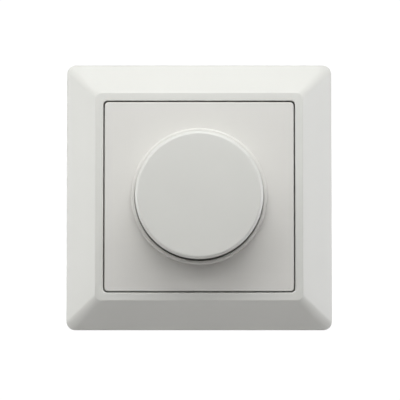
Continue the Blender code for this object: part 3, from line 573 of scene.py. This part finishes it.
HOUSING_CORNER = 15.0
HOUSING_WALL = 1.6
HOUSING_ROUNDING, HOUSING_FILLET = 1.2, 0.5
TOUCH = 0.02                   # what is left of the air between two pressed faces
BOSS_RADIUS, BOSS_END = 3.2, 0.4         # the bosses stop a little behind the rim
SCREW_DEPTH = 8.4
TERMINAL_PITCH, TERMINAL_COUNT = 6.0, 4
WIRE_HOLE, WIRE_FUNNEL, WIRE_Y = 1.6, 0.8, -16.8
ACCESS_HOLE, ACCESS_HEIGHT = 1.8, 6.6    # above the housing's back
GROOVE_COUNT, GROOVE_PITCH = 7, 2.6
GROOVE_HALF_WIDTH, GROOVE_HALF_LENGTH, GROOVE_DEPTH = 0.6, 7.0, 0.5
GROOVE_CLEARANCE = 2.0         # from the housing's back to where the grooves may start
FIELD_Y = 4.0
FIELD_HALF_WIDTH, FIELD_HALF_HEIGHT, FIELD_CORNER, FIELD_DEPTH = 14.0, 8.5, 1.5, 0.4
PARTING_PLACE, PARTING_DEPTH, PARTING_ROUNDING = 1.6, 0.25, 0.08


def make_housing_cover(material):
    """Lid of the housing, pressed against the support plate."""
    low, high = bench_box("housing_cover")
    front = bench_box("support_plate")[0].z - TOUCH
    piece = rounded_slab("housing_lid", high.x, HOUSING_CORNER, low.z, front, FILLET)
    drill_common_holes(piece, low.z, front)
    stand_for(piece, "housing_cover", "base", material)


def add_bosses(piece, floor, cad_front, front):
    """Bosses in the housing for its four screws."""
    for x, y in screw_places():
        place = Matrix.Translation((x, y, 0))
        boss = [round_ring(BOSS_RADIUS, height, HOLE_SIDES)
                for height in (floor - HOUSING_WALL / 2, cad_front - BOSS_END)]
        use_tool(piece, lofted("boss", boss, place=place), "UNION")
        bore = [round_ring(SCREW_HOLE, height, HOLE_SIDES)
                for height in (cad_front - SCREW_DEPTH, front + OVERSHOOT)]
        use_tool(piece, lofted("bore", bore, place=place), "DIFFERENCE")


def open_terminals(piece, half, back, floor):
    """Funnels for the wires behind, and holes below for the terminal screws."""
    profile = ((ACCESS_HOLE, -HOUSING_WALL - OVERSHOOT), (ACCESS_HOLE, -2 * FLARE),
               (ACCESS_HOLE + 2 * FLARE + OVERSHOOT, OVERSHOOT))
    for number in range(TERMINAL_COUNT):
        x = (number - (TERMINAL_COUNT - 1) / 2) * TERMINAL_PITCH
        drill(piece, WIRE_HOLE, back, floor, x, WIRE_Y, flare=WIRE_FUNNEL)
        access = [round_ring(at, height, HOLE_SIDES) for at, height in profile]
        place = (Matrix.Translation((x, -half, back + ACCESS_HEIGHT))
                 @ Matrix.Rotation(math.pi / 2, 4, "X"))
        use_tool(piece, lofted("access", access, place=place), "DIFFERENCE")


def press_grooves(piece, half, middle):
    """Shallow grooves on the right, upper and left walls, centred at a height of middle."""
    for wall in range(3):
        for groove in range(GROOVE_COUNT):
            along = (groove - (GROOVE_COUNT - 1) / 2) * GROOVE_PITCH
            place = (Matrix.Rotation(wall * math.pi / 2, 4, "Z")
                     @ Matrix.Translation((half, along, middle))
                     @ Matrix.Rotation(math.pi / 2, 4, "Y"))
            press(piece, GROOVE_HALF_LENGTH, GROOVE_HALF_WIDTH, GROOVE_HALF_WIDTH - HAIR,
                  GROOVE_DEPTH, place)


def make_housing(material):
    """Moulded cup with ribbed sides, funnels for the wires and a blank field at the back."""
    low, high = bench_box("housing")
    half, back = high.x, low.z
    front = bench_box("housing_cover")[0].z - TOUCH
    inside, floor = half - HOUSING_WALL, back + HOUSING_WALL
    parting = front - PARTING_PLACE
    profile = round_profile([
        (half - FLAT_INSET, back, 0),
        (half, back, HOUSING_ROUNDING),
        (half, parting - PARTING_DEPTH, PARTING_ROUNDING),
        (half - PARTING_DEPTH, parting, PARTING_ROUNDING),
        (half, parting + PARTING_DEPTH, PARTING_ROUNDING),
        (half, front, FILLET),
        (inside, front, SOFT),
        (inside, floor, HOUSING_FILLET),
        (inside - FLAT_INSET, floor, 0),
    ])
    rings = [rectangle_ring(at, at, HOUSING_CORNER - (half - at), height)
             for at, height in profile]
    piece = lofted("housing_cup", rings)
    add_bosses(piece, floor, high.z, front)
    open_terminals(piece, half, back, floor)
    field = Matrix.Translation((0, FIELD_Y, back)) @ Matrix.Rotation(math.pi, 4, "X")
    press(piece, FIELD_HALF_WIDTH, FIELD_HALF_HEIGHT, FIELD_CORNER, FIELD_DEPTH, field)
    press_grooves(piece, half, (back + GROOVE_CLEARANCE + parting) / 2)
    stand_for(piece, "housing", "base", material)


# ---------------------------------------------------------------- return spring

SPRING_WIRE = 0.25             # radius of the wire
SPRING_TURNS = 4
TURN_STEPS, WIRE_SIDES = 36, 12


def make_return_spring(material):
    """Compression spring of the push switch, which closes up as the knob is pressed."""
    low, high = bench_box("return_spring")
    radius = high.x - SPRING_WIRE
    length = high.z - low.z - 2 * SPRING_WIRE
    rings = []
    for step in range(SPRING_TURNS * TURN_STEPS + 1):
        turns = step / TURN_STEPS
        across = Vector((math.cos(turns * 2 * math.pi), math.sin(turns * 2 * math.pi), 0))
        height = low.z + SPRING_WIRE + length * turns / SPRING_TURNS
        centre = across * radius + Vector((0, 0, height))
        rings.append([centre + across * x + Vector((0, 0, y))
                      for x, y, _ in round_ring(SPRING_WIRE, 0, WIRE_SIDES)])
    piece = lofted("return_spring_coil", rings)
    stand_for(piece, "return_spring", "base", material)
    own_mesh(piece)


# ---------------------------------------------------------------- studio

CAMERA_DISTANCE = 0.450
CAMERA_ELEVATION = -2.3        # degrees; the camera looks very slightly up
CAMERA_LENS = 133.7
AIM = Vector((0.00024, 0, -0.0007))


def make_camera():
    """Long lens straight in front, a little below the middle."""
    camera = bpy.data.objects.new("camera", bpy.data.cameras.new("camera"))
    camera.data.lens = CAMERA_LENS
    camera.data.clip_start = 0.01
    elevation = math.radians(CAMERA_ELEVATION)
    back = Vector((0, -math.cos(elevation), math.sin(elevation)))
    camera.location = AIM + back * CAMERA_DISTANCE
    camera.rotation_euler = (-back).to_track_quat("-Z", "Y").to_euler()
    bpy.context.scene.collection.objects.link(camera)
    bpy.context.scene.camera = camera


def soft_box(name, place, size, power, spread, colour):
    """A soft box that faces the object, with its power in watts and its spread in degrees."""
    light = bpy.data.lights.new(name, "AREA")
    light.shape = "RECTANGLE"
    light.size, light.size_y = size
    light.energy = power
    light.color = colour
    light.spread = math.radians(spread)
    holder = bpy.data.objects.new(name, light)
    holder.location = place
    holder.rotation_euler = (-Vector(place)).to_track_quat("-Z", "Y").to_euler()
    holder.visible_camera = False
    bpy.context.scene.collection.objects.link(holder)


BACK_FILL = 0.10
WHITE_SEEN = 1.05              # just past white, so that what the camera sees is clean


def make_world():
    """White to the camera, with a soft fill from behind."""
    world = bpy.data.worlds.new("studio")
    bpy.context.scene.world = world
    world.use_nodes = True
    tree = world.node_tree
    tree.nodes.clear()
    output = tree.nodes.new("ShaderNodeOutputWorld")
    coordinates = tree.nodes.new("ShaderNodeTexCoord")
    split = tree.nodes.new("ShaderNodeSeparateXYZ")
    tree.links.new(coordinates.outputs["Generated"], split.inputs["Vector"])
    fill = tree.nodes.new("ShaderNodeMapRange")
    fill.inputs["To Max"].default_value = BACK_FILL
    tree.links.new(split.outputs["Y"], fill.inputs["Value"])
    lighting = tree.nodes.new("ShaderNodeBackground")
    lighting.inputs["Color"].default_value = (1, 1, 1, 1)
    tree.links.new(fill.outputs["Result"], lighting.inputs["Strength"])
    seen = tree.nodes.new("ShaderNodeBackground")
    seen.inputs["Color"].default_value = (1, 1, 1, 1)
    seen.inputs["Strength"].default_value = WHITE_SEEN
    path = tree.nodes.new("ShaderNodeLightPath")
    choose = tree.nodes.new("ShaderNodeMixShader")
    tree.links.new(path.outputs["Is Camera Ray"], choose.inputs["Fac"])
    tree.links.new(lighting.outputs["Background"], choose.inputs[1])
    tree.links.new(seen.outputs["Background"], choose.inputs[2])
    tree.links.new(choose.outputs["Shader"], output.inputs["Surface"])


FLOOR_DEPTH = 0.16             # below the middle of the object
FLOOR_HALF = 0.85
FLOOR_GLOW = 0.80              # keeps the floor pale where the soft boxes don't reach
FLOOR_TONES = ((0.635, 0.622, 0.622), (0.665, 0.652, 0.652))


def make_floor():
    """Plain pale floor, well below the object, that fades into the white round it."""
    shape = bmesh.new()
    bmesh.ops.create_grid(shape, x_segments=2, y_segments=2, size=FLOOR_HALF)
    mesh = bpy.data.meshes.new("floor")
    shape.to_mesh(mesh)
    shape.free()
    floor = bpy.data.objects.new("floor", mesh)
    floor.location = (0, 0, -FLOOR_DEPTH)
    material, tree, shader = new_material("floor", 0.8)
    two_tone(tree, shader, noise(tree, 8.0, 2.0), *FLOOR_TONES)
    coordinates = tree.nodes.new("ShaderNodeTexCoord")
    distance = tree.nodes.new("ShaderNodeVectorMath")
    distance.operation = "LENGTH"
    tree.links.new(coordinates.outputs["Object"], distance.inputs[0])
    glow = tree.nodes.new("ShaderNodeMapRange")
    glow.interpolation_type = "SMOOTHSTEP"
    glow.inputs["From Max"].default_value = FLOOR_HALF
    glow.inputs["To Min"].default_value = FLOOR_GLOW
    glow.inputs["To Max"].default_value = WHITE_SEEN
    tree.links.new(distance.outputs["Value"], glow.inputs["Value"])
    pale = tree.nodes.new("ShaderNodeEmission")
    pale.inputs["Color"].default_value = (1, 1, 1, 1)
    tree.links.new(glow.outputs["Result"], pale.inputs["Strength"])
    path = tree.nodes.new("ShaderNodeLightPath")
    choose = tree.nodes.new("ShaderNodeMixShader")
    tree.links.new(path.outputs["Is Camera Ray"], choose.inputs["Fac"])
    tree.links.new(shader.outputs["BSDF"], choose.inputs[1])
    tree.links.new(pale.outputs["Emission"], choose.inputs[2])
    tree.links.new(choose.outputs["Shader"], tree.nodes["Material Output"].inputs["Surface"])
    mesh.materials.append(material)
    bpy.context.scene.collection.objects.link(floor)


WHITE_LIGHT, COOL_LIGHT = (1, 1, 1), (1, 1, 1.04)
FULL_SPREAD, NARROW_SPREAD = 180, 60
SOFT_BOXES = (                 # name, place, size, power, spread and colour
    ("overhead", (0, -0.19, 0.41), (0.60, 0.16), 0.65, FULL_SPREAD, WHITE_LIGHT),
    ("front_high", (0, -0.39, 0.225), (0.60, 0.16), 0.305, FULL_SPREAD, WHITE_LIGHT),
    ("front_low", (0, -0.42, 0.15), (0.22, 0.16), 0.36, FULL_SPREAD, WHITE_LIGHT),
    ("near", (0, -0.155, 0.185), (0.20, 0.09), 0.225, FULL_SPREAD, WHITE_LIGHT),
    ("near_top", (0, -0.042, 0.236), (0.20, 0.08), 0.083, FULL_SPREAD, WHITE_LIGHT),
    ("left_high", (-0.30, -0.28, 0.20), (0.20, 0.20), 0.25, FULL_SPREAD, WHITE_LIGHT),
    ("right_high", (0.30, -0.28, 0.20), (0.20, 0.20), 0.087, FULL_SPREAD, WHITE_LIGHT),
    ("left", (-0.45, 0.03, 0.0), (0.22, 0.25), 0.83, FULL_SPREAD, WHITE_LIGHT),
    ("right", (0.45, 0.03, 0.0), (0.22, 0.25), 0.85, FULL_SPREAD, COOL_LIGHT),
    ("behind_right", (0.20, 0.45, -0.04), (0.40, 0.25), 0.12, NARROW_SPREAD, WHITE_LIGHT),
    ("behind_left", (-0.20, 0.45, -0.04), (0.40, 0.25), 0.12, NARROW_SPREAD, WHITE_LIGHT),
)


def make_studio():
    """Camera, white surroundings, floor and soft boxes."""
    make_camera()
    make_world()
    make_floor()
    for box in SOFT_BOXES:
        soft_box(*box)
    view = bpy.context.scene.view_settings
    view.view_transform = "Standard"
    view.look = "None"
    view.exposure = 0.0


# ---------------------------------------------------------------- assembly

materials = slot_materials()
dress_cad_nodes(materials)
make_cover_frame(materials["white_plastic"])
make_centre_plate(moulded_plastic("warm_white_plastic", WARM_WHITE, 0.42))
make_knob(materials["white_plastic"])
make_support_plate(materials["zinc_steel"])
make_housing_cover(materials["grey_plastic"])
make_housing(materials["grey_plastic"])
make_return_spring(materials["zinc_steel"])
make_studio()
